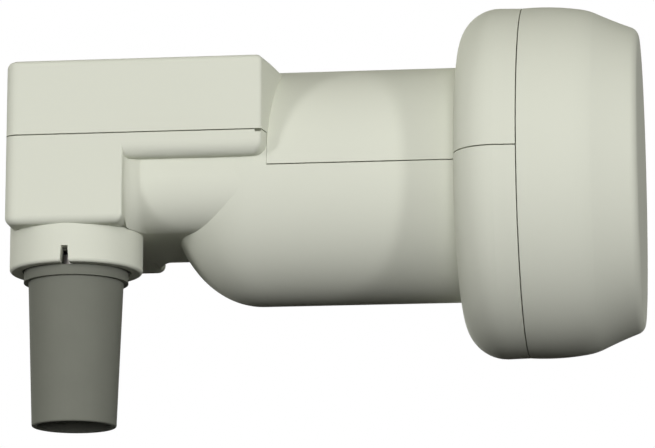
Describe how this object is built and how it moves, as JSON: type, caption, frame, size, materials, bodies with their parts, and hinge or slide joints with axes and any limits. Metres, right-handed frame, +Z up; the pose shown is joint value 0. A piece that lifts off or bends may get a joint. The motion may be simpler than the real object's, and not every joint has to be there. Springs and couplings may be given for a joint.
{
  "type": "satellite lnb",
  "caption": "Low-noise block downconverter: round radome head, cylindrical clamping neck, electronics box and a downward cable connector under a sliding weather boot.",
  "frame": {"origin": "on the horn's axis, at the middle of the clamping neck", "axes": "+X along the horn towards the reflector, +Z up, with the cable connector pointing down -Z"},
  "size_m": [0.1062, 0.0596, 0.0719],
  "materials": {
    "casing_plastic": "fine moulded satin",
    "radome_plastic": "fine moulded satin",
    "boot_rubber": "matt moulded",
    "seal_rubber": "matt",
    "cast_alloy": "as cast",
    "shield_alloy": "as cast",
    "board_laminate": "solder mask",
    "screw_steel": "zinc plated",
    "probe_brass": "bright",
    "tuning_brass": "bright",
    "white_insulator": "waxy",
    "resonator_ceramic": "fired",
    "plated_connector": "nickel plated",
    "chip_black": "moulded",
    "capacitor_ceramic": "fired",
    "coil_copper": "enamelled",
    "absorber_foam": "matt"
  },
  "bodies": {
    "housing": {"upper_casing": "casing_plastic", "lower_casing": "casing_plastic", "radome_cap": "radome_plastic", "radome_seal": "seal_rubber", "connector_gasket": "seal_rubber", "feed_body": "cast_alloy", "shield_cover": "shield_alloy", "circuit_board": "board_laminate", "cover_screws": "screw_steel", "isolation_pin": "screw_steel", "vertical_probe": "probe_brass", "horizontal_probe": "probe_brass", "connector_contact": "probe_brass", "low_band_tuning_screw": "tuning_brass", "high_band_tuning_screw": "tuning_brass", "vertical_probe_sleeve": "white_insulator", "horizontal_probe_sleeve": "white_insulator", "connector_insulator": "white_insulator", "low_band_resonator": "resonator_ceramic", "high_band_resonator": "resonator_ceramic", "connector_shell": "plated_connector", "voltage_regulator": "chip_black", "switching_chip": "chip_black", "amplifier_transistors": "chip_black", "chip_capacitors": "capacitor_ceramic", "choke_coils": "coil_copper", "absorber_pad": "absorber_foam"},
    "boot": {"weather_boot": "boot_rubber"}
  },
  "joints": [
    {"name": "boot_slide", "type": "slide", "parent": "housing", "child": "boot", "axis": [0, 0, 1], "range_m": [0, 0.016]}
  ]
}
